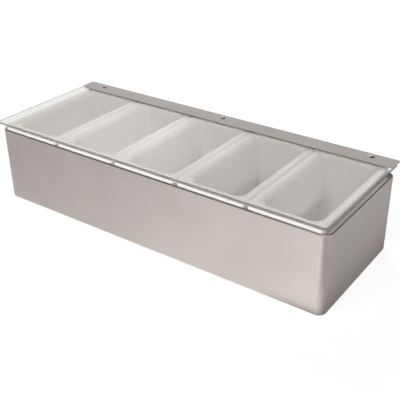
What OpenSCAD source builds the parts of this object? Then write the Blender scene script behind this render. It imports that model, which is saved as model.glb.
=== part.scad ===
// Bar fruit dispenser: a stainless box with a row of white tubs under a clear, hinged lid.
// Millimetres. The origin is on the table, under the middle of the box; -Y is the front.

/* [Housing] */
// Length of the box, outside
housing_l = 480; // [420:1:560]
// Depth of the box from front to back, outside
housing_w = 168.5; // [150:0.5:200]
// Height of the box, to the top of its ledge
housing_h = 101; // [95:1:130]
// Thickness of the steel sheet
sheet_t = 0.8; // [0.6:0.1:1.2]
// Radius of the box's vertical edges, outside
corner_r = 10; // [10:0.5:20]
// Radius of the bend between the walls and the floor, outside
base_bend_r = 3; // [2:0.25:6]
// Radius of the bend between the walls and the ledge, outside
top_bend_r = 2; // [1.5:0.25:3]
// Width of the ledge at the front and the ends, from the outside of the wall
ledge_w = 9; // [8.5:0.25:9.5]
// Gap between the rear ledge, which is narrower, and the rear walls of the tubs
ledge_gap = 0.4; // [0.3:0.05:1]

/* [Tubs] */
// Number of tubs in the row
tub_n = 5; // [3:1:5]
// Height of a tub, over all
tub_h = 92; // [70:1:94]
// Wall thickness of a tub
tub_t = 1.6; // [1.2:0.1:2]
// Gap between the rims of neighbouring tubs
tub_gap = 0.3; // [0.2:0.1:1]
// Distance from the end of the box to the first rim
row_end_gap = 6.5; // [5:0.25:7]
// Distance from the front and back faces of the box to the rims
rim_setback = 1.5; // [1.2:0.1:2.5]
// Height of a rim above the ledge
rim_h = 4.5; // [4:0.25:7]
// Radius over the outer edge of a rim
rim_edge_r = 2.5; // [2.25:0.25:3]
// Width of the flat top of a rim at the front and the sides
rim_flat = 2.5; // [1:0.25:4]
// Width of the flat top of a rim at the rear
rear_flat = 0.5; // [0.25:0.25:1.5]
// Corner radius of a rim, seen from above
rim_corner_r = 7; // [5:0.5:12]
// Radius of the soft mouth between a rim and the front and side walls
mouth_r = 8; // [6:0.5:12]
// Radius of the mouth at the rear wall, under the strip
rear_mouth_r = 2.5; // [2.25:0.25:5]
// Radius of the front corners of the walls below the mouth, seen from above
wall_corner_r = 14; // [14:0.5:20]
// Radius of the rear corners of the walls below the mouth, seen from above
rear_corner_r = 7; // [5:0.5:12]
// Draft of the walls in degrees
draft_deg = 2.5; // [1:0.25:3]
// Radius between the walls and the floor, inside
floor_r = 10; // [6:0.5:10]

/* [Lid] */
// How far the lid reaches past each end of the box, before its offset
lid_side_over = 2; // [0:0.5:6]
// Offset of the lid, its strip and its hinge along the box
lid_offset = -4.6; // [-5:0.2:5]
// Distance from the front of the box back to the lid's front edge
lid_front_inset = 1; // [0:0.5:6]
// How far the lid and its strip reach behind the box
rear_over = 17.5; // [16:0.5:22]
// Thickness of the clear sheet
lid_t = 3; // [2:0.25:5]
// Radius of the lid's front corners
lid_front_r = 5; // [2:0.5:12]
// Radius of the lid's rear corners, under the strip
lid_rear_r = 9; // [4:0.5:12]
// Gap between the rims and the closed lid
lid_gap = 0.2; // [0.1:0.05:0.5]

/* [Strip] */
// Width of the strip along the lid's rear edge
strip_w = 26; // [22:0.5:36]
// Thickness of the strip
strip_t = 1; // [0.6:0.1:1.3]
// Distance from each end of the lid to the end of the strip
strip_end_inset = 1; // [0:0.25:4]
// Length of the clipped front corners along the strip
clip_l = 10; // [4:0.5:16]
// Depth of the clipped front corners across the strip
clip_w = 3.5; // [1.5:0.25:6]
// Outer radius of the fold along the strip's rear edge
fold_r = 1.5; // [1.5:0.1:2.5]
// Gap between the inside of the fold and the lid's rear edge
fold_gap = 0.1; // [0:0.1:0.5]

/* [Hinge] */
// Distance from each end of the box to the hinge, before the lid's offset
hinge_end_gap = 20; // [16:1:40]
// Number of knuckles on both leaves together
knuckle_n = 21; // [15:2:25]
// Radius of a knuckle, outside
knuckle_r = 2.2; // [2.2:0.1:2.4]
// Radius of the hinge pin
pin_r = 1.05; // [0.9:0.05:1.05]
// Running clearance between the pin and a knuckle, on the radius
pin_play = 0.05; // [0.03:0.01:0.09]
// Gap between neighbouring knuckles
knuckle_gap = 0.3; // [0.2:0.05:0.6]
// Thickness of a leaf
leaf_t = 1; // [0.8:0.05:1]
// Width of the leaf under the lid, from the pin's axis
lid_leaf_w = 12; // [11:0.5:13]
// Width of the leaf on the back wall, from the pin's axis
body_leaf_w = 14; // [12:0.5:18]
// Clearance between a knuckle and what passes it
knuckle_clear = 0.3; // [0.3:0.05:0.6]

/* [Rivets] */
// Number of rivets through the lid
lid_rivet_n = 3; // [2:1:7]
// Distance from each end of the hinge to the lid's end rivets
lid_rivet_end_gap = 10; // [6:1:30]
// Distance from the pin's axis back to the lid's rivets
lid_rivet_reach = 5.3; // [5.3:0.1:8]
// Radius of the domed head on the lid
head_r = 4; // [3:0.25:4.5]
// Height of the domed head on the lid
head_h = 1.7; // [1:0.1:2.2]
// Radius of a rivet's shank
shank_r = 1.6; // [1.2:0.1:2]
// Clearance between a shank and its hole, on the radius
hole_play = 0.1; // [0.05:0.05:0.2]
// Radius of the flat heads under the lid and on the back
flat_head_r = 2.5; // [2.3:0.1:2.6]
// Height of the flat heads under the lid and on the back
flat_head_h = 0.8; // [0.5:0.1:0.9]
// Number of rivets through the back wall
body_rivet_n = 4; // [2:1:6]
// Distance from each end of the hinge to the end rivets of the back wall
body_rivet_end_gap = 70; // [40:5:90]
// Distance from the pin's axis down to the rivets through the back wall
body_rivet_drop = 8; // [7:0.25:10]

/* [Hidden] */

round_fn = 64;      // facets of a round edge
small_fn = 32;      // facets of rivets, knuckles and bends
corner_steps = 6;   // steps round one corner of a tub
mouth_steps = 7;    // steps down the mouth of a tub
edge_steps = 3;     // steps over the outer edge of a rim
floor_steps = 5;    // steps round the foot of a tub's walls
cut = 1;            // how far a cutting shape reaches past what it cuts
sharp_r = 0.5;      // smallest radius of a tub's corners, at the foot of its walls

// The row of tubs
tub_pitch = (housing_l - 2 * row_end_gap) / tub_n;
tub_half_x = (tub_pitch - tub_gap) / 2;
tub_half_y = housing_w / 2 - rim_setback;
crest_z = housing_h + rim_h;
function tub_x(i) = (i - (tub_n - 1) / 2) * tub_pitch;

// The lid lies just over the rims
lid_z = crest_z + lid_gap;
lid_top_z = lid_z + lid_t;
lid_l = housing_l + 2 * lid_side_over;
lid_front_y = -housing_w / 2 + lid_front_inset;
strip_rear_y = housing_w / 2 + rear_over;
lid_rear_y = strip_rear_y - fold_r - fold_gap;
strip_l = lid_l - 2 * strip_end_inset;
strip_top_z = lid_top_z + strip_t;

// The pin's axis stands off the back wall and the lid's underside by the same distance
axis_off = knuckle_r + knuckle_clear;
axis_y = housing_w / 2 + axis_off;
axis_z = lid_z - axis_off;
bore_r = pin_r + pin_play;
hinge_l = housing_l - 2 * hinge_end_gap;
knuckle_pitch = hinge_l / knuckle_n;
leaf_start = knuckle_r + 2 * knuckle_clear;

// Rivets
hole_r = shank_r + hole_play;
lid_rivet_y = axis_y + lid_rivet_reach;
body_rivet_z = axis_z - body_rivet_drop;
function spread(i, n, end_gap) = lid_offset + (i / (n - 1) - 0.5) * (hinge_l - 2 * end_gap);
function lid_rivet_x(i) = spread(i, lid_rivet_n, lid_rivet_end_gap);
function body_rivet_x(i) = spread(i, body_rivet_n, body_rivet_end_gap);

// A quarter of a bent sheet's section: outer radius r, in the corner that sx and sy point to
module bend(r, t, sx, sy) {
    intersection() {
        difference() {
            circle(r, $fn = round_fn);
            circle(r - t, $fn = round_fn);
        }
        translate([sx > 0 ? 0 : -r, sy > 0 ? 0 : -r]) square(r);
    }
}

// The rear ledge ends just behind the rear walls of the tubs
rear_inset = rim_edge_r + rear_flat + rear_mouth_r;
rear_ledge_w = rim_setback + rear_inset - tub_t - ledge_gap;

// Section of the box from the middle of a corner outwards: floor, bend, wall, bend and ledge
module wall_section() {
    square([corner_r - base_bend_r, sheet_t]);
    translate([corner_r - base_bend_r, base_bend_r]) bend(base_bend_r, sheet_t, 1, -1);
    translate([corner_r - sheet_t, base_bend_r]) square([sheet_t, housing_h - base_bend_r - top_bend_r]);
    translate([corner_r - top_bend_r, housing_h - top_bend_r]) bend(top_bend_r, sheet_t, 1, 1);
    translate([corner_r - ledge_w, housing_h - sheet_t]) square([ledge_w - top_bend_r, sheet_t]);
}

// One wall of the given length, standing at the given distance from the middle
module wall(len, dist) {
    translate([dist - corner_r, len / 2, 0]) rotate([90, 0, 0]) linear_extrude(len) wall_section();
}

module housing() {
    run_x = housing_l - 2 * corner_r;
    run_y = housing_w - 2 * corner_r;
    color("silver") difference() {
        union() {
            translate([-run_x / 2, -run_y / 2, 0]) cube([run_x, run_y, sheet_t]);
            for (turn = [0, 180]) {
                rotate([0, 0, turn]) wall(run_y, housing_l / 2);
                rotate([0, 0, turn + 90]) wall(run_x, housing_w / 2);
            }
            for (turn = [0 : 3]) {
                sx = turn == 0 || turn == 3 ? 1 : -1;
                sy = turn < 2 ? 1 : -1;
                translate([sx * run_x / 2, sy * run_y / 2, 0]) rotate([0, 0, turn * 90])
                    rotate_extrude(angle = 90, $fn = round_fn) wall_section();
            }
        }
        for (i = [0 : body_rivet_n - 1])
            translate([body_rivet_x(i), housing_w / 2 - sheet_t - cut, body_rivet_z]) rotate([-90, 0, 0])
                cylinder(r = hole_r, h = sheet_t + 2 * cut, $fn = small_fn);
        translate([ledge_w - housing_l / 2, 0, housing_h - sheet_t - cut])
            cube([housing_l - 2 * ledge_w, housing_w / 2 - rear_ledge_w, sheet_t + 2 * cut]);
    }
}

// A tub is one moulded shell. Its show side is a list of rings, from the floor up the walls, over the mouth
// and the rim, and down to the rim's lower edge. A ring is [insets from the rim's outer face, heights, corner
// radii, inset part of the surface's direction, height part of the same]. Insets and heights are lists for
// the side walls, the front wall and the rear wall. The radii are for the front and the rear corners.
ones = [1, 1, 1];
pair = [1, 1];
mouth_radii = [mouth_r, mouth_r, rear_mouth_r];
mouth_start = rim_edge_r * ones + [rim_flat, rim_flat, rear_flat];
mouth_inset = mouth_start + mouth_radii;
floor_z = crest_z - tub_h + tub_t;
foot_z = floor_z + floor_r;
foot_inset = mouth_inset + (crest_z * ones - mouth_radii - foot_z * ones) * tan(draft_deg);
function mix_r(inset) = rim_corner_r * pair
    + ([wall_corner_r, rear_corner_r] - rim_corner_r * pair) * inset / mouth_inset[0];
function narrow(radii, by) = [for (r = radii) max(r - by, sharp_r)];
foot_corner_r = narrow([wall_corner_r, rear_corner_r], (foot_inset - mouth_inset)[0]);

floor_rings = [for (s = [floor_steps : -1 : 0]) let (a = 90 * s / floor_steps, run = floor_r * (1 - cos(a)))
    [foot_inset + run * ones, (foot_z - floor_r * sin(a)) * ones, narrow(foot_corner_r, run),
     cos(a), sin(a)]];
mouth_rings = [for (s = [mouth_steps : -1 : 0])
    let (a = 90 * s / mouth_steps, insets = mouth_start + mouth_radii * sin(a))
    [insets, crest_z * ones - mouth_radii * (1 - cos(a)), mix_r(insets[0]), sin(a), cos(a)]];
edge_rings = [for (s = [0 : edge_steps]) let (a = 90 * s / edge_steps, inset = rim_edge_r * (1 - sin(a)))
    [inset * ones, (crest_z - rim_edge_r * (1 - cos(a))) * ones, mix_r(inset), -sin(a), cos(a)]];
lip_ring = [[0 * ones, housing_h * ones, mix_r(0), -1, 0]];
show_rings = concat(floor_rings, mouth_rings, edge_rings, lip_ring);

// The hidden side is the same list one wall thickness behind, in the opposite order
back_rings = [for (i = [len(show_rings) - 1 : -1 : 0]) let (g = show_rings[i])
    [g[0] - tub_t * g[3] * ones, g[1] - tub_t * g[4] * ones, g[2] + tub_t * g[3] * pair]];

// The points of one ring: a rectangle with round corners, in which side heights run into front or rear ones
function ring_points(g) = [for (q = [0 : 3], s = [0 : corner_steps])
    let (a = 90 * (q + s / corner_steps),
         end = q < 2 ? 2 : 1,
         r = g[2][end - 1],
         cx = (q == 0 || q == 3 ? 1 : -1) * (tub_half_x - g[0][0] - r),
         cy = (q < 2 ? 1 : -1) * (tub_half_y - g[0][end] - r),
         z = g[1][0] + (g[1][end] - g[1][0]) * pow(sin(a), 2))
    [cx + r * cos(a), cy + r * sin(a), z]];

module tub() {
    rings = concat(show_rings, back_rings);
    n = 4 * (corner_steps + 1);
    last = len(rings) - 1;
    points = [for (g = rings) each ring_points(g)];
    sides = [for (k = [0 : last - 1], i = [0 : n - 1]) let (j = (i + 1) % n, a = k * n, b = a + n)
        each [[a + i, a + j, b + i], [a + j, b + j, b + i]]];
    inner_floor = [for (i = [n - 1 : -1 : 0]) i];
    outer_floor = [for (i = [0 : n - 1]) last * n + i];
    polyhedron(points = points, faces = concat(sides, [inner_floor], [outer_floor]), convexity = 6);
}

module insert(i) {
    color("white") if (i < tub_n) translate([tub_x(i), 0, 0]) tub();
}

// Outline of the lid: an octagon with a disc in each corner
module lid_outline() {
    hx = lid_l / 2;
    y0 = lid_front_y;
    y1 = lid_rear_y;
    rf = lid_front_r;
    rr = lid_rear_r;
    polygon([[rf - hx, y0], [hx - rf, y0], [hx, y0 + rf], [hx, y1 - rr], [hx - rr, y1], [rr - hx, y1],
             [-hx, y1 - rr], [-hx, y0 + rf]]);
    for (s = [-1, 1]) {
        translate([s * (hx - rf), y0 + rf]) circle(rf, $fn = round_fn);
        translate([s * (hx - rr), y1 - rr]) circle(rr, $fn = round_fn);
    }
}

// The holes for the lid's rivets, through everything between two heights
module lid_rivet_holes(z0, z1) {
    for (i = [0 : lid_rivet_n - 1])
        translate([lid_rivet_x(i), lid_rivet_y, z0 - cut])
            cylinder(r = hole_r, h = z1 - z0 + 2 * cut, $fn = small_fn);
}

module lid_panel() {
    color("lightcyan", 0.35) difference() {
        translate([lid_offset, 0, lid_z]) linear_extrude(lid_t) lid_outline();
        lid_rivet_holes(lid_z, lid_top_z);
    }
}

// Section of the strip, from front to back: flat, fold and lip
module strip_section() {
    y0 = strip_rear_y - strip_w;
    translate([y0, lid_top_z]) square([strip_w - fold_r, strip_t]);
    translate([strip_rear_y - fold_r, strip_top_z - fold_r]) bend(fold_r, strip_t, 1, 1);
    translate([strip_rear_y - strip_t, lid_z]) square([strip_t, strip_top_z - fold_r - lid_z]);
}

module lid_edge_strip() {
    y0 = strip_rear_y - strip_w;
    color("silver") difference() {
        translate([lid_offset - strip_l / 2, 0, 0]) rotate([90, 0, 90])
            linear_extrude(strip_l) strip_section();
        for (s = [-1, 1])
            translate([lid_offset + s * strip_l / 2, y0, lid_top_z - cut]) linear_extrude(strip_t + 2 * cut)
                polygon([[-s * clip_l, 0], [0, clip_w], [s * cut, clip_w], [s * cut, -cut],
                         [-s * clip_l, -cut]]);
        lid_rivet_holes(lid_top_z, strip_top_z);
    }
}

// A rivet along +Z: its shank starts at 0, a flat head is below it and a head of the given shape is above len
module rivet(len, domed) {
    dome_r = (head_r * head_r + head_h * head_h) / (2 * head_h);
    rotate_extrude($fn = small_fn) {
        square([shank_r, len]);
        translate([0, -flat_head_h]) square([flat_head_r, flat_head_h]);
        if (domed)
            intersection() {
                translate([0, len + head_h - dome_r]) circle(dome_r, $fn = round_fn);
                translate([0, len]) square([head_r, head_h]);
            }
        else
            translate([0, len]) square([flat_head_r, flat_head_h]);
    }
}

module lid_rivets() {
    z0 = lid_z - leaf_t;
    color("gainsboro")
        for (i = [0 : lid_rivet_n - 1])
            translate([lid_rivet_x(i), lid_rivet_y, z0]) rivet(strip_top_z - z0, true);
}

module body_rivets() {
    y0 = housing_w / 2 - sheet_t;
    color("gainsboro")
        for (i = [0 : body_rivet_n - 1])
            translate([body_rivet_x(i), y0, body_rivet_z]) rotate([-90, 0, 0]) rivet(sheet_t + leaf_t, false);
}

// Section of one knuckle with the stretch of leaf that runs into it; the pin's axis is at 0, 0
module knuckle_section() {
    difference() {
        union() {
            circle(knuckle_r, $fn = small_fn);
            polygon([[0, knuckle_r - leaf_t], [0, knuckle_r], [leaf_start, axis_off],
                     [leaf_start, axis_off - leaf_t]]);
        }
        circle(bore_r, $fn = small_fn);
    }
}

// A leaf that lies in the plane y, with every second knuckle, counted from first
module leaf(width, first) {
    rotate([90, 0, 90]) {
        translate([leaf_start, axis_off - leaf_t, -hinge_l / 2]) cube([width - leaf_start, leaf_t, hinge_l]);
        for (k = [first : 2 : knuckle_n - 1])
            translate([0, 0, -hinge_l / 2 + k * knuckle_pitch + knuckle_gap / 2])
                linear_extrude(knuckle_pitch - knuckle_gap) knuckle_section();
    }
}

module hinge_leaf_lid() {
    color("darkgray") difference() {
        translate([lid_offset, axis_y, axis_z]) leaf(lid_leaf_w, 1);
        lid_rivet_holes(lid_z - leaf_t, lid_z);
    }
}

module hinge_leaf_body() {
    color("darkgray") difference() {
        translate([lid_offset, axis_y, axis_z]) mirror([0, 1, 1]) leaf(body_leaf_w, 0);
        for (i = [0 : body_rivet_n - 1])
            translate([body_rivet_x(i), housing_w / 2 - cut, body_rivet_z]) rotate([-90, 0, 0])
                cylinder(r = hole_r, h = leaf_t + 2 * cut, $fn = small_fn);
    }
}

module hinge_pin() {
    color("dimgray") translate([lid_offset - hinge_l / 2, axis_y, axis_z]) rotate([0, 90, 0])
        cylinder(r = pin_r, h = hinge_l, $fn = small_fn);
}

housing();
insert(0);  // insert_1
insert(1);  // insert_2
insert(2);  // insert_3
insert(3);  // insert_4
insert(4);  // insert_5
lid_panel();
lid_edge_strip();
lid_rivets();
hinge_leaf_lid();
hinge_leaf_body();
hinge_pin();
body_rivets();
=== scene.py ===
"""A bar fruit dispenser: finish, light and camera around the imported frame. Lengths are in metres."""
import math

import bmesh
import bpy
from mathutils import Matrix, Vector


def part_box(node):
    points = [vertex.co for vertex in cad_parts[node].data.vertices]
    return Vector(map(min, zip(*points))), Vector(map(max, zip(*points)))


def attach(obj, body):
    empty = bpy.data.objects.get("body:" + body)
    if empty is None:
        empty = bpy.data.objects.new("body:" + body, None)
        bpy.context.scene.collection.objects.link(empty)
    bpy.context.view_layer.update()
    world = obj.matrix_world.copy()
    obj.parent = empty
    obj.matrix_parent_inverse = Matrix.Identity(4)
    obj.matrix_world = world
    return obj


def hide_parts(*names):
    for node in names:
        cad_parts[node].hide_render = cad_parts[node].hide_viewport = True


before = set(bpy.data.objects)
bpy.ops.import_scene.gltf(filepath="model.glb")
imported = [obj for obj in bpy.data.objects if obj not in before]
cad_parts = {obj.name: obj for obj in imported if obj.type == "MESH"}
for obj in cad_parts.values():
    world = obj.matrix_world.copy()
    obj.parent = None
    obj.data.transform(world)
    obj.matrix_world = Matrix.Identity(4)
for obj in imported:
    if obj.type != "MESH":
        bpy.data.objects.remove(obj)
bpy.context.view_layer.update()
MM = 0.001

# Camera: where the photograph was taken from, solved on the box's straight edges. Angles are in degrees, and
# the lens and the sensor in millimetres.
CAMERA_AT = Vector((0.48854, -0.64563, 0.47909))
CAMERA_AZIMUTH = 35.822
CAMERA_ELEVATION = 29.095
CAMERA_ROLL = -0.661
CAMERA_LENS = 64.86
SENSOR = 36.0

# Sizes that the replaced pieces share with the solids. Lists go from the side walls to the front and rear
# ones, or from the front to the rear.
TUB_T = 1.6 * MM
RIM_EDGE_R = 2.5 * MM
RIM_FLATS = [2.5 * MM, 2.5 * MM, 0.5 * MM]
SHARP_R = 0.5 * MM
RIM_CORNER_R = 7.0 * MM
RIM_H = 4.5 * MM
MOUTH_RADII = [8.0 * MM, 8.0 * MM, 2.5 * MM]
WALL_CORNERS = [14.0 * MM, 7.0 * MM]
FLOOR_R = 10.0 * MM
DRAFT = math.tan(math.radians(2.5))
LID_FRONT_R = 5.0 * MM
LID_REAR_R = 9.0 * MM
RIVET_HEAD_R = 4.0 * MM
HOLE_R = 1.7 * MM
TUBS = ["insert_%d" % (i + 1) for i in range(5)]

# The lid's broken edges, and a ring on its flat faces that keeps their shading flat
EDGE_BREAK = 0.35 * MM
LID_RING = 1.2 * MM

# Steps of a quarter turn, and of the whole turn round a rivet's hole
TUB_FLOOR_STEPS = 12
MOUTH_STEPS = 18
RIM_EDGE_STEPS = 8
TUB_CORNER_STEPS = 14
LID_CORNER_STEPS = 12
LID_EDGE_STEPS = 3
HOLE_STEPS = 24

# Edges that turn by more degrees than this stay sharp
SHARP_ANGLE = 32


def place_camera():
    a, e, roll = (math.radians(v) for v in (CAMERA_AZIMUTH, CAMERA_ELEVATION, CAMERA_ROLL))
    back = Vector((math.sin(a) * math.cos(e), -math.cos(a) * math.cos(e), math.sin(e)))
    right = Vector((math.cos(a), math.sin(a), 0))
    up = back.cross(right)
    x_axis = right * math.cos(roll) + up * math.sin(roll)
    y_axis = up * math.cos(roll) - right * math.sin(roll)
    data = bpy.data.cameras.new("camera")
    data.sensor_width = SENSOR
    data.lens = CAMERA_LENS
    data.clip_start = 0.01
    data.clip_end = 50
    cam = bpy.data.objects.new("camera", data)
    cam.matrix_world = Matrix.Translation(CAMERA_AT) @ Matrix((x_axis, y_axis, back)).transposed().to_4x4()
    bpy.context.scene.collection.objects.link(cam)
    bpy.context.scene.camera = cam


# Helpers for node trees

class Tree:
    """Short names for making and joining shader nodes."""

    def __init__(self, tree):
        self.tree = tree
        tree.nodes.clear()

    def node(self, kind, inputs=None, **settings):
        n = self.tree.nodes.new(kind)
        for k, v in settings.items():
            setattr(n, k, v)
        for k, v in (inputs or {}).items():
            if isinstance(v, bpy.types.NodeSocket):
                self.tree.links.new(v, n.inputs[k])
            else:
                n.inputs[k].default_value = v
        return n

    def coords(self, scale):
        """Places in the piece's own frame, in metres, multiplied by a vector."""
        c = self.node("ShaderNodeTexCoord").outputs["Object"]
        return self.node("ShaderNodeVectorMath", {0: c, 1: scale}, operation="MULTIPLY").outputs[0]

    def noise(self, scale, detail, rough):
        return self.node("ShaderNodeTexNoise", {"Vector": self.coords(scale), "Scale": 1.0, "Detail": detail,
                                                "Roughness": rough}).outputs["Fac"]

    def ramp(self, value, low, high, to_low=0.0, to_high=1.0):
        return self.node("ShaderNodeMapRange", {"Value": value, "From Min": low, "From Max": high,
                                                "To Min": to_low, "To Max": to_high}).outputs["Result"]

    def spread(self, noise, to_low=0.0, to_high=1.0):
        """Turns the usual stretch of a noise into a stretch of values."""
        return self.ramp(noise, 0.3, 0.7, to_low, to_high)

    def math(self, operation, a, b):
        return self.node("ShaderNodeMath", {0: a, 1: b}, operation=operation).outputs[0]

    def between(self, factor, a, b):
        """A number between two numbers."""
        return self.node("ShaderNodeMix", {0: factor, 2: a, 3: b}).outputs[0]

    def blend(self, factor, a, b):
        """A colour between two colours."""
        n = self.node("ShaderNodeMix", data_type="RGBA")
        for name, v in (("Factor", factor), ("A", a), ("B", b)):
            socket = [s for s in n.inputs if s.name == name and (s.type == "RGBA") == (name != "Factor")][0]
            if isinstance(v, bpy.types.NodeSocket):
                self.tree.links.new(v, socket)
            else:
                socket.default_value = v
        return [s for s in n.outputs if s.type == "RGBA"][0]

    def bump(self, height, strength, distance):
        return self.node("ShaderNodeBump", {"Height": height, "Strength": strength,
                                            "Distance": distance}).outputs["Normal"]

    def output(self, shader, kind="ShaderNodeOutputMaterial"):
        self.node(kind, {"Surface": shader})


def material(name):
    m = bpy.data.materials.new(name)
    m.use_nodes = True
    return m, Tree(m.node_tree)


def grey(value, tint):
    return (value * tint[0], value * tint[1], value * tint[2], 1.0)


# Tints of steel
WARM = (1.0, 0.915, 0.862)
NEUTRAL = (1.0, 0.94, 0.89)

# How far steel's brightness goes up and down in soft clouds
CLOUDS = 0.03

# The grain of brushed steel, in marks per metre across the lines and along them
GRAIN_ACROSS = 2600
GRAIN_ALONG = 14

# Plastics
TUB_DARK = (0.835, 0.805, 0.78, 1)
TUB_LIGHT = (0.865, 0.838, 0.815, 1)
PLASTIC_IOR = 1.49


def brushed(name, colour, tint, along, rough=0.34, lines=1.0):
    """Brushed steel. along has a 1 for each direction in which the fine lines run."""
    m, t = material(name)
    grain = t.noise(Vector([GRAIN_ALONG if v else GRAIN_ACROSS for v in along]), 3.0, 0.6)
    clouds = t.noise(Vector((16, 16, 24)), 2.0, 0.5)
    tints = t.noise(Vector((11, 11, 17)), 1.0, 0.5)
    dark, light = colour * (1 - CLOUDS), colour * (1 + CLOUDS)
    pink = (tint[0], tint[1] * 0.975, tint[2] * 0.98)
    plain = t.blend(t.spread(clouds), grey(dark, tint), grey(light, tint))
    rosy = t.blend(t.spread(clouds), grey(dark, pink), grey(light, pink))
    base = t.blend(t.ramp(tints, 0.4, 0.6), plain, rosy)
    p = t.node("ShaderNodeBsdfPrincipled", {
        "Base Color": base, "Metallic": 1.0, "Roughness": t.spread(grain, rough - 0.04, rough + 0.04),
        "Normal": t.bump(grain, 0.1 * lines, 0.00005)})
    t.output(p.outputs[0])
    return m


def tub_plastic():
    """White moulded plastic, glossy and slightly uneven."""
    m, t = material("tub_white")
    clouds = t.noise(Vector((14, 14, 14)), 2.0, 0.5)
    peel = t.noise(Vector((140, 140, 140)), 2.0, 0.5)
    base = t.blend(t.spread(clouds), TUB_DARK, TUB_LIGHT)
    p = t.node("ShaderNodeBsdfPrincipled", {
        "Base Color": base, "Roughness": t.spread(peel, 0.2, 0.27), "IOR": PLASTIC_IOR,
        "Normal": t.bump(peel, 0.05, 0.0002)})
    t.output(p.outputs[0])
    return m


def clear_plastic():
    """The lid's sheet: glass that lets lamplight through to the tubs."""
    m, t = material("lid_clear")
    haze = t.noise(Vector((30, 30, 30)), 3.0, 0.6)
    p = t.node("ShaderNodeBsdfPrincipled", {
        "Base Color": (0.99, 0.98, 0.96, 1), "Roughness": t.spread(haze, 0.0, 0.03),
        "IOR": PLASTIC_IOR, "Transmission Weight": 1.0})
    through = t.node("ShaderNodeBsdfTransparent", {"Color": (0.93, 0.93, 0.925, 1)})
    lamp = t.node("ShaderNodeLightPath").outputs["Is Shadow Ray"]
    mix = t.node("ShaderNodeMixShader", {0: lamp, 1: p.outputs[0], 2: through.outputs[0]})
    t.output(mix.outputs[0])
    return m


def sawn_plastic():
    """The lid's cut edges, which scatter light where its faces are clear."""
    m, t = material("lid_cut_edge")
    marks = t.noise(Vector((60, 60, 900)), 2.0, 0.5)
    p = t.node("ShaderNodeBsdfPrincipled", {
        "Base Color": (0.96, 0.93, 0.88, 1), "Roughness": t.spread(marks, 0.4, 0.55),
        "IOR": PLASTIC_IOR, "Transmission Weight": 0.75})
    t.output(p.outputs[0])
    return m


# Tubs: the same form as the solids, with finer steps

def arc(steps):
    return [math.radians(90 * s / steps) for s in range(steps + 1)]


def tub_rings(lo, hi):
    """Rings of the show side from the floor to the rim's lower edge, then of the hidden side back down.

    A ring holds its insets and its heights at the side walls, the front wall and the rear wall, and the
    radii of its front and rear corners.
    """
    crest = hi.z
    floor = lo.z + TUB_T
    walls = list(zip(RIM_FLATS, MOUTH_RADII))
    mouth = [RIM_EDGE_R + flat + r for flat, r in walls]
    foot = [m + (crest - r - floor - FLOOR_R) * DRAFT for m, r in zip(mouth, MOUTH_RADII)]

    def corners(inset):
        return [RIM_CORNER_R + (r - RIM_CORNER_R) * inset / mouth[0] for r in WALL_CORNERS]

    def narrow(radii, by):
        return [max(r - by, SHARP_R) for r in radii]

    foot_r = narrow(WALL_CORNERS, foot[0] - mouth[0])

    show = []
    for a in reversed(arc(TUB_FLOOR_STEPS)):
        run = FLOOR_R * (1 - math.cos(a))
        show.append(([f + run for f in foot], [floor + FLOOR_R * (1 - math.sin(a))] * 3, narrow(foot_r, run),
                     math.cos(a), math.sin(a)))
    for a in reversed(arc(MOUTH_STEPS)):
        insets = [RIM_EDGE_R + flat + r * math.sin(a) for flat, r in walls]
        show.append((insets, [crest - r * (1 - math.cos(a)) for r in MOUTH_RADII], corners(insets[0]),
                     math.sin(a), math.cos(a)))
    for a in arc(RIM_EDGE_STEPS):
        inset = RIM_EDGE_R * (1 - math.sin(a))
        show.append(([inset] * 3, [crest - RIM_EDGE_R * (1 - math.cos(a))] * 3, corners(inset),
                     -math.sin(a), math.cos(a)))
    show.append(([0] * 3, [crest - RIM_H] * 3, corners(0), -1, 0))
    hidden = [([d - TUB_T * nd for d in ds], [z - TUB_T * nz for z in zs], [r + TUB_T * nd for r in rs])
              for ds, zs, rs, nd, nz in reversed(show)]
    return [g[:3] for g in show] + hidden


def ring(bm, lo, hi, insets, heights, radii, steps):
    """A closed row of points inside a box: a rectangle with round corners.

    Insets and heights go sides, front, rear, and radii front, rear. The sides' height runs into the front's
    or the rear's at the corners.
    """
    loop = []
    for q, (sx, sy) in enumerate(((1, 1), (-1, 1), (-1, -1), (1, -1))):
        end = 2 if sy > 0 else 1
        r = radii[end - 1]
        cx = (hi.x if sx > 0 else lo.x) - sx * (insets[0] + r)
        cy = (hi.y if sy > 0 else lo.y) - sy * (insets[end] + r)
        for a in arc(steps):
            turn = a + q * math.pi / 2
            z = heights[0] + (heights[end] - heights[0]) * math.sin(turn) ** 2
            loop.append(bm.verts.new((cx + r * math.cos(turn), cy + r * math.sin(turn), z)))
    return loop


def bridge(bm, a, b, index=0):
    """A band of faces between two rows of as many points."""
    for i in range(len(a)):
        j = (i + 1) % len(a)
        bm.faces.new((a[i], a[j], b[j], b[i])).material_index = index


def to_mesh(bm, name):
    bmesh.ops.recalc_face_normals(bm, faces=bm.faces)
    mesh = bpy.data.meshes.new(name)
    bm.to_mesh(mesh)
    bm.free()
    return mesh


def tub_mesh(name, lo, hi):
    bm = bmesh.new()
    loops = [ring(bm, lo, hi, *g, TUB_CORNER_STEPS) for g in tub_rings(lo, hi)]
    for a, b in zip(loops, loops[1:]):
        bridge(bm, a, b)
    bm.faces.new(loops[0])
    bm.faces.new(loops[-1])
    return to_mesh(bm, name)


# The lid's clear sheet: the same slab as the solid, with its sharp edges broken

def rivet_places():
    lo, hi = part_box("lid_rivets")
    y = (lo.y + hi.y) / 2
    first, last = lo.x + RIVET_HEAD_R, hi.x - RIVET_HEAD_R
    return [(first, y), ((first + last) / 2, y), (last, y)]


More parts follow.
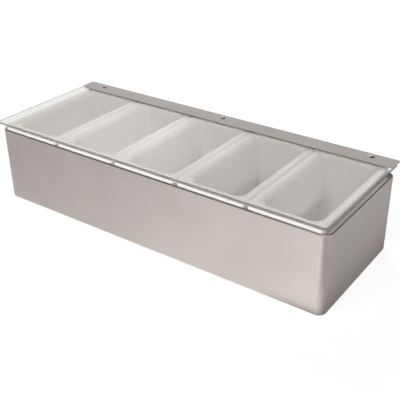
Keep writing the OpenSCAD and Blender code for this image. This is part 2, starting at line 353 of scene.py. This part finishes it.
def circle(bm, centre, r, z):
    turns = [2 * math.pi * i / HOLE_STEPS for i in range(HOLE_STEPS)]
    return [bm.verts.new((centre[0] + r * math.cos(a), centre[1] + r * math.sin(a), z)) for a in turns]


def closed_edges(bm, loop):
    edges = []
    for a, b in zip(loop, loop[1:] + loop[:1]):
        edges.append(bm.edges.get((a, b)) or bm.edges.new((a, b)))
    return edges


def lid_mesh(name, lo, hi):
    bm = bmesh.new()

    def row(inset, z):
        radii = [r - inset for r in (LID_FRONT_R, LID_REAR_R)]
        return ring(bm, lo, hi, [inset] * 3, [z] * 3, radii, LID_CORNER_STEPS)

    low = [(EDGE_BREAK * (1 - math.sin(a)), lo.z + EDGE_BREAK * (1 - math.cos(a)))
           for a in arc(LID_EDGE_STEPS)]
    high = [(inset, lo.z + hi.z - z) for inset, z in reversed(low)]
    levels = [(LID_RING, lo.z)] + low + high + [(LID_RING, hi.z)]
    loops = [row(inset, z) for inset, z in levels]
    for i, (a, b) in enumerate(zip(loops, loops[1:])):
        bridge(bm, a, b, 1 if i == len(low) else 0)
    holes = [[circle(bm, c, HOLE_R, z) for c in rivet_places()] for z in (lo.z, hi.z)]
    for a, b in zip(*holes):
        bridge(bm, a, b)
    for loop, inner in ((loops[0], holes[0]), (loops[-1], holes[1])):
        edges = closed_edges(bm, loop)
        for hole in inner:
            edges += closed_edges(bm, hole)
        bmesh.ops.triangle_fill(bm, use_beauty=True, edges=edges)
    return to_mesh(bm, name)


def smooth(mesh):
    """Soft shading, with sharp edges kept where faces meet at more than an angle."""
    for f in mesh.polygons:
        f.use_smooth = True
    mesh.set_sharp_from_angle(angle=math.radians(SHARP_ANGLE))


def add_piece(name, mesh, mats, body, node):
    for mat in mats:
        mesh.materials.append(mat)
    o = bpy.data.objects.new(name, mesh)
    bpy.context.scene.collection.objects.link(o)
    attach(o, body)
    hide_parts(node)


def make_tubs():
    white = tub_plastic()
    for node in TUBS:
        lo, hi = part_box(node)
        mesh = tub_mesh(node + "_shell", lo, hi)
        smooth(mesh)
        add_piece(node + "_shell", mesh, [white], "base", node)


def make_lid():
    lo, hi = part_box("lid_panel")
    mesh = lid_mesh("lid_sheet", lo, hi)
    smooth(mesh)
    add_piece("lid_sheet", mesh, [clear_plastic(), sawn_plastic()], "lid", "lid_panel")


def dress(node, mat):
    """Gives a solid its finish."""
    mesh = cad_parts[node].data
    mesh.materials.clear()
    mesh.materials.append(mat)


def dress_solids():
    dress("housing", brushed("housing_steel", 0.615, WARM, (1, 1, 0)))
    dress("lid_edge_strip", brushed("strip_steel", 0.57, NEUTRAL, (1, 0, 0), 0.36))
    hinge = brushed("hinge_steel", 0.52, NEUTRAL, (1, 0, 0), 0.3, 0.5)
    for node in ("hinge_leaf_lid", "hinge_leaf_body", "hinge_pin"):
        dress(node, hinge)
    rivet = brushed("rivet_steel", 0.85, NEUTRAL, (0, 0, 0), 0.12, 0.3)
    for node in ("lid_rivets", "body_rivets"):
        dress(node, rivet)


# Light and ground

# Painted light and shade that metal and gloss see on the floor's glow, along x: in front of the box, and
# beside it on the right, where it is a painted shadow of the box
PAINTED_FLOOR_LEFT = [(-0.6, 0.80), (-0.4, 0.60), (-0.25, 0.71), (-0.1, 0.80), (0.03, 0.97), (0.15, 1.02)]
PAINTED_FLOOR_FRONT = PAINTED_FLOOR_LEFT + [(0.22, 1.2), (0.30, 0.46), (0.65, 0.8)]
PAINTED_SHADOW_BESIDE = PAINTED_FLOOR_LEFT + [(0.22, 0.2), (0.245, 0.30), (0.275, 0.52), (0.31, 0.52), (0.36, 0.49),
                             (0.5, 0.9)]

# Along y, where the painted tones in front of the box run into the painted shadow beside it
FRONT_ENDS = (-0.10, -0.08)

# The floor's white is a glow with paint in it, which takes the shadow: the glow's share, its strength at two
# distances from the middle, and how much of it shows through the lid
GLOW_SHARE = 0.8
GLOW_AT = (0.4, 1.2)
GLOW = (1.13, 1.26)
THROUGH_LID = 0.8
FLOOR_PAINT = (0.8, 0.8, 0.8, 1)
FLOOR_RADIUS = 6.0
FLOOR_DROP = 0.5 * MM

# What gloss sees of the room: (direction, degrees of full strength, degrees where it ends, strength)
ROOM = [
    ((-0.51, 0.71, 0.49), 15, 45, 0.75),
    ((0.51, -0.71, 0.35), 20, 55, 0.6),
    ((0.0, -0.58, 0.81), 8, 26, 1.4),
    ((-1.0, 0.0, 0.17), 10, 35, 0.5),
    ((1.0, 0.0, 0.17), 10, 35, 0.5),
]
ROOM_DARK = 0.04

# Soft boxes, which light matt surfaces only: (place, aim, width and height, brightness, degrees of spread)
FILLS = [
    ((-1.0, 1.1, 1.0), (0, 0, 0.08), (0.8, 0.8), 10.2, 180),
    ((0.0, -1.0, 1.4), (0, 0, 0.08), (0.8, 0.8), 8.0, 180),
    ((1.6, 0.0, 0.8), (0, 0, 0.08), (0.8, 0.8), 1.42, 180),
    ((0.0, -2.0, 0.16), (0, 0, 0.09), (2.6, 0.2), 12.1, 180),
    ((0.757, -0.10, 0.80), (-0.128, 0.0, 0.07), (0.12, 0.12), 1.05, 14),
    ((1.067, -0.10, 0.80), (0.182, 0.0, 0.07), (0.12, 0.12), 0.76, 14),
]


def ray_kinds(t):
    """Two marks, each 1 or 0: for rays from the eye, also through the lid, and for rays from gloss.

    Both are 0 for rays from matt surfaces.
    """
    path = t.node("ShaderNodeLightPath").outputs
    matt = t.math("GREATER_THAN", path["Diffuse Depth"], 0.5)
    other = t.math("SUBTRACT", 1.0, matt)
    gloss = t.math("MULTIPLY", t.math("GREATER_THAN", path["Glossy Depth"], 0.5), other)
    return t.math("SUBTRACT", other, gloss), gloss


def curve(t, x, knots):
    """Straight lines between knots, level beyond the first and the last."""
    value = knots[0][1]
    for (x0, v0), (x1, v1) in zip(knots, knots[1:]):
        value = t.math("ADD", value, t.ramp(x, x0, x1, 0.0, v1 - v0))
    return value


def floor_white_and_painted_light():
    """White to the eye, with a faint shadow. Gloss sees painted light and shade on the floor: darker to the
    left, a bright stretch in front of the box's right end, and a painted shadow beside its right side.
    """
    m, t = material("ground")
    direct, gloss = ray_kinds(t)
    spot = t.node("ShaderNodeTexCoord").outputs["Object"]
    place = t.node("ShaderNodeSeparateXYZ", {0: spot}).outputs
    away = t.node("ShaderNodeVectorMath", {0: spot}, operation="LENGTH").outputs["Value"]
    # Painted light and shade on the floor's glow, with a painted shadow beside the box, which only gloss
    # sees
    front = t.ramp(place[1], *FRONT_ENDS, 1.0, 0.0)
    painted_tones = t.between(front, curve(t, place[0], PAINTED_SHADOW_BESIDE), curve(t, place[0], PAINTED_FLOOR_FRONT))
    through = t.math("GREATER_THAN", t.node("ShaderNodeLightPath").outputs["Transmission Depth"], 0.5)
    white = t.math("MULTIPLY", t.ramp(away, *GLOW_AT, *GLOW), t.ramp(through, 0, 1, 1.0, THROUGH_LID))
    glow = t.node("ShaderNodeEmission", {"Color": (1, 1, 1, 1), "Strength": t.between(gloss, white, painted_tones)})
    paint = t.node("ShaderNodeBsdfDiffuse", {"Color": FLOOR_PAINT})
    share = t.math("MAXIMUM", t.math("MULTIPLY", direct, GLOW_SHARE), gloss)
    mix = t.node("ShaderNodeMixShader", {0: share, 1: paint.outputs[0], 2: glow.outputs[0]})
    t.output(mix.outputs[0])
    return m


def white_ground():
    bm = bmesh.new()
    bmesh.ops.create_circle(bm, cap_ends=True, radius=FLOOR_RADIUS, segments=64)
    mesh = to_mesh(bm, "ground")
    mesh.materials.append(floor_white_and_painted_light())
    o = bpy.data.objects.new("ground", mesh)
    o.location.z = -FLOOR_DROP
    bpy.context.scene.collection.objects.link(o)


def room_world():
    """White to the eye and through the lid; to gloss a grey room with soft bright stretches."""
    world = bpy.data.worlds.new("studio")
    bpy.context.scene.world = world
    world.use_nodes = True
    world.cycles.sampling_method = "NONE"
    t = Tree(world.node_tree)
    direct, gloss = ray_kinds(t)
    way = t.node("ShaderNodeTexCoord").outputs["Generated"]
    room = ROOM_DARK
    for direction, inner, outer, strength in ROOM:
        unit = Vector(direction).normalized()
        dot = t.node("ShaderNodeVectorMath", {0: way, 1: unit}, operation="DOT_PRODUCT").outputs["Value"]
        room = t.math("ADD", room, t.ramp(dot, math.cos(math.radians(outer)), math.cos(math.radians(inner)),
                                          0.0, strength))
    level = t.math("ADD", direct, t.math("MULTIPLY", gloss, room))
    back = t.node("ShaderNodeBackground", {"Color": (1, 1, 1, 1), "Strength": level})
    t.output(back.outputs[0], "ShaderNodeOutputWorld")


def lamp(name, at, towards, size, level, spread):
    """An area lamp for matt surfaces. level is how bright its face is, where 1 is white."""
    data = bpy.data.lights.new(name, "AREA")
    data.shape = "RECTANGLE"
    data.size, data.size_y = size
    data.energy = level * math.pi * size[0] * size[1]
    data.spread = math.radians(spread)
    data.specular_factor = 0.0
    o = bpy.data.objects.new(name, data)
    o.location = at
    o.rotation_mode = "QUATERNION"
    o.rotation_quaternion = (Vector(towards) - Vector(at)).to_track_quat("-Z", "Y")
    o.visible_transmission = False
    o.visible_glossy = False
    bpy.context.scene.collection.objects.link(o)


place_camera()
make_tubs()
make_lid()
dress_solids()
white_ground()
room_world()
for i, fill in enumerate(FILLS):
    lamp("fill_%02d" % (i + 1), *fill)

scene = bpy.context.scene
scene.view_settings.view_transform = "Standard"
# The light tree picks the narrow lamps too seldom, and their light is lost
scene.cycles.use_light_tree = False
